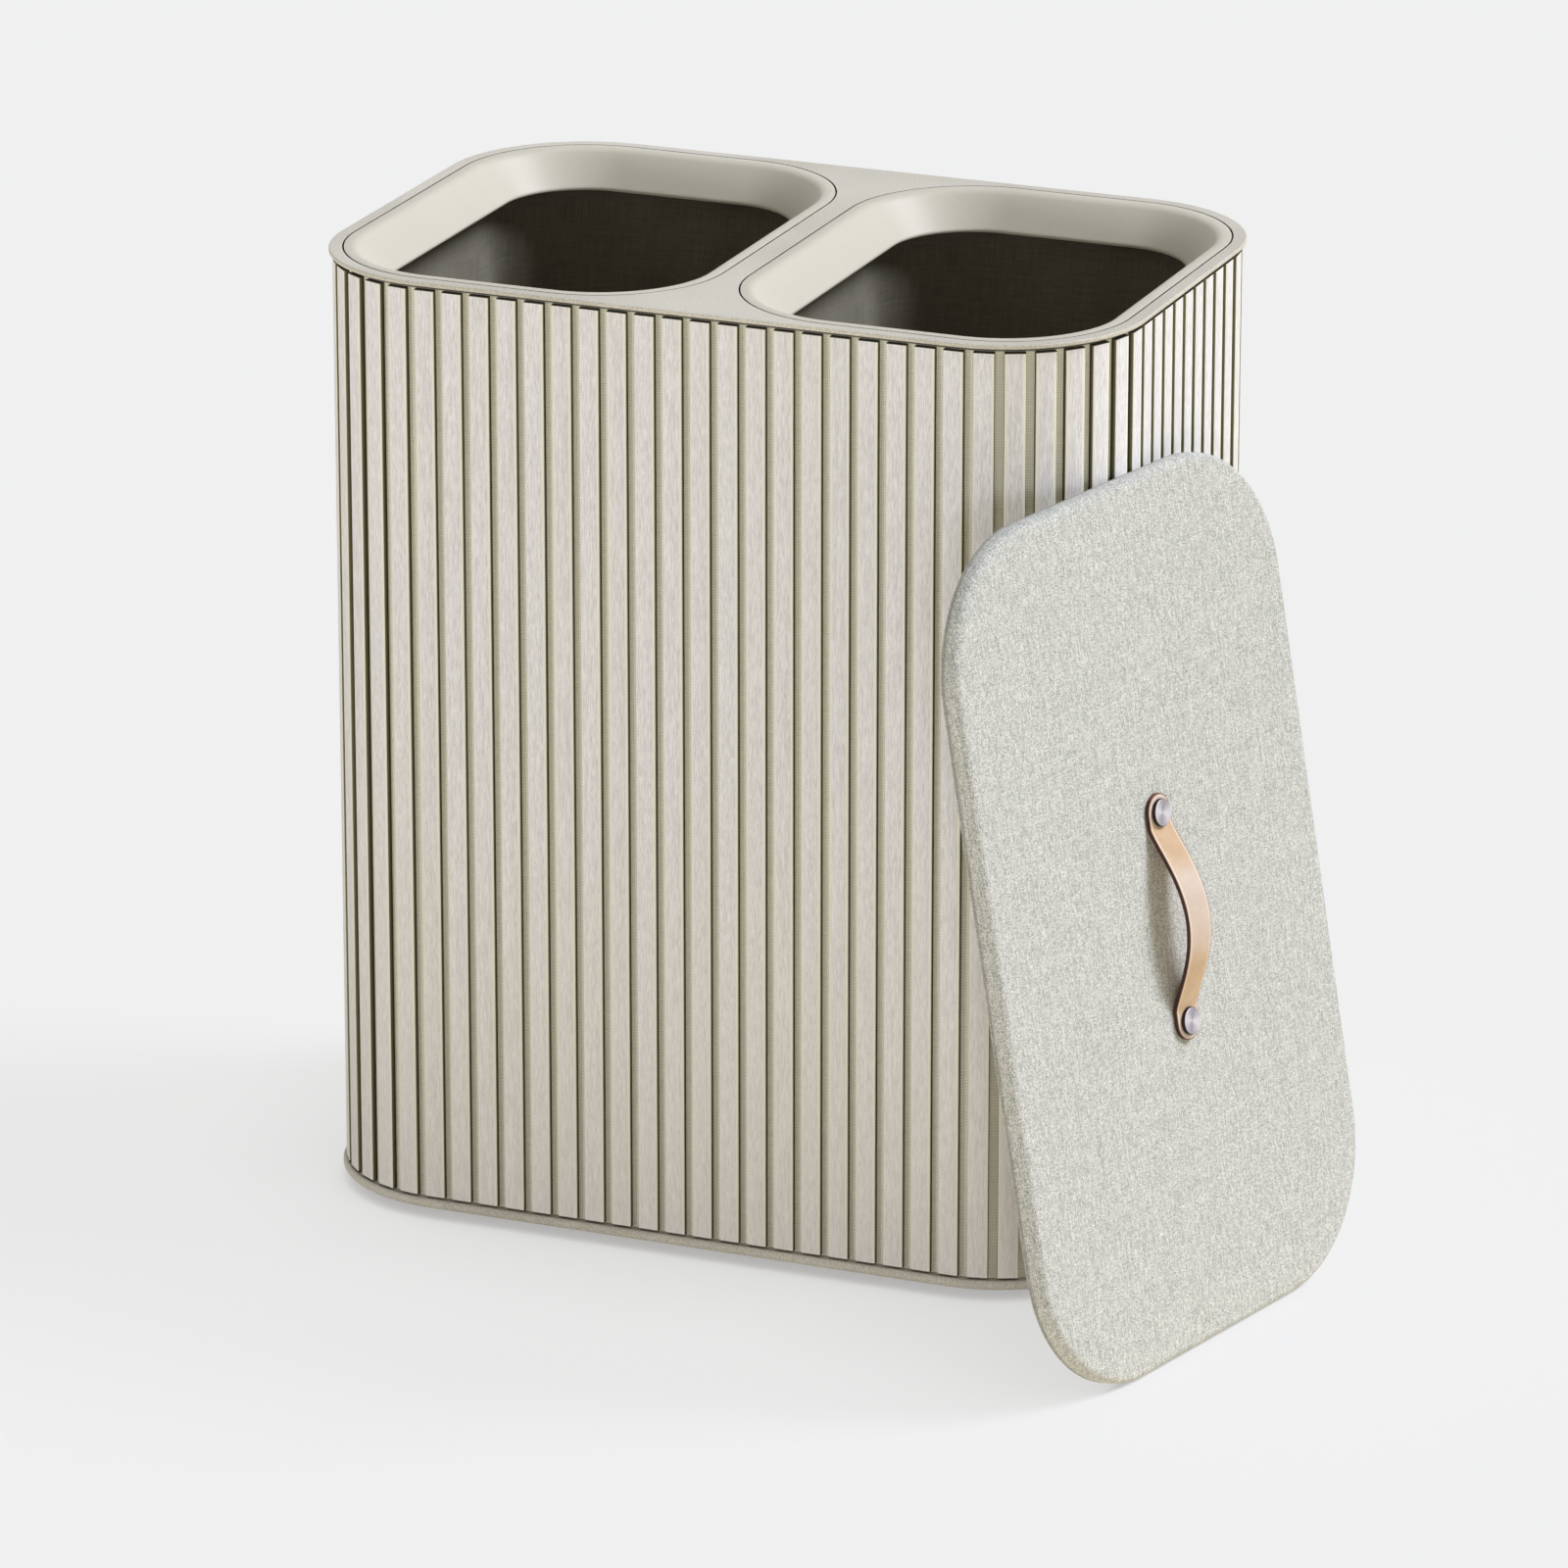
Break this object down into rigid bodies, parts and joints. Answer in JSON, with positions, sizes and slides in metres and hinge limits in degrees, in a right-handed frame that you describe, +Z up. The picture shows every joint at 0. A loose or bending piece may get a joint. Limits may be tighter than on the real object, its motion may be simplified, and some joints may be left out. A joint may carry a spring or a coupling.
{
  "type": "laundry hamper with two bins",
  "caption": "Slatted laundry hamper with a flush collar and hanging bag in each lift-out bin, and a loose fabric lid with a leather strap leaning on its side.",
  "frame": {"origin": "on the floor, under the middle of the box that holds the hamper and the lid leaning on it", "axes": "+Z up, +X along the hamper's long side towards the leaning lid, +Y from its front to its back"},
  "size_m": [0.714, 0.5586, 0.675],
  "materials": {
    "slats": "brushed wood under a thin greige stain, satin",
    "board": "plain board, matt",
    "frame_plastic": "moulded, fine satin",
    "collar_plastic": "moulded, smooth satin",
    "rubber": "black, matt",
    "steel": "brushed",
    "bag_fabric": "plain woven lining cloth, matt",
    "lid_fabric": "melange linen weave, matt",
    "leather": "vegetable tanned, smooth, dark edges"
  },
  "bodies": {
    "root": {"slat_wrap": "slats", "shell_left": "board", "shell_right": "board", "divider_panel": "board", "top_frame": "frame_plastic", "base_tray": "frame_plastic", "foot_front_left": "rubber", "foot_front_right": "rubber", "foot_rear_left": "rubber", "foot_rear_right": "rubber", "foot_screw_front_left": "steel", "foot_screw_front_right": "steel", "foot_screw_rear_left": "steel", "foot_screw_rear_right": "steel", "frame_screw_front_left": "steel", "frame_screw_front_right": "steel", "frame_screw_rear_left": "steel", "frame_screw_rear_right": "steel", "frame_screw_left": "steel", "frame_screw_right": "steel", "base_screw_front_left": "steel", "base_screw_front_right": "steel", "base_screw_rear_left": "steel", "base_screw_rear_right": "steel", "base_screw_left": "steel", "base_screw_right": "steel"},
    "bin_left": {"collar_left": "collar_plastic", "hem_ring_left": "collar_plastic", "bag_left": "bag_fabric", "bag_bottom_left": "bag_fabric", "bag_hoop_left": "steel", "bag_board_left": "board"},
    "bin_right": {"collar_right": "collar_plastic", "hem_ring_right": "collar_plastic", "bag_right": "bag_fabric", "bag_bottom_right": "bag_fabric", "bag_hoop_right": "steel", "bag_board_right": "board"},
    "lid": {"lid_cover": "lid_fabric", "lid_core": "board", "lid_backing": "lid_fabric", "strap": "leather", "strap_screw_lower": "steel", "strap_screw_upper": "steel", "strap_nut_lower": "steel", "strap_nut_upper": "steel"}
  },
  "joints": [
    {"name": "bin_left_lift", "type": "slide", "parent": "root", "child": "bin_left", "axis": [0, 0, 1], "range_m": [0, 0.66]},
    {"name": "bin_right_lift", "type": "slide", "parent": "root", "child": "bin_right", "axis": [0, 0, 1], "range_m": [0, 0.66]},
    {"name": "lid_lift", "type": "slide", "parent": "root", "child": "lid", "axis": [0.9573, -0.2277, 0.1781], "range_m": [0, 0.3]}
  ]
}
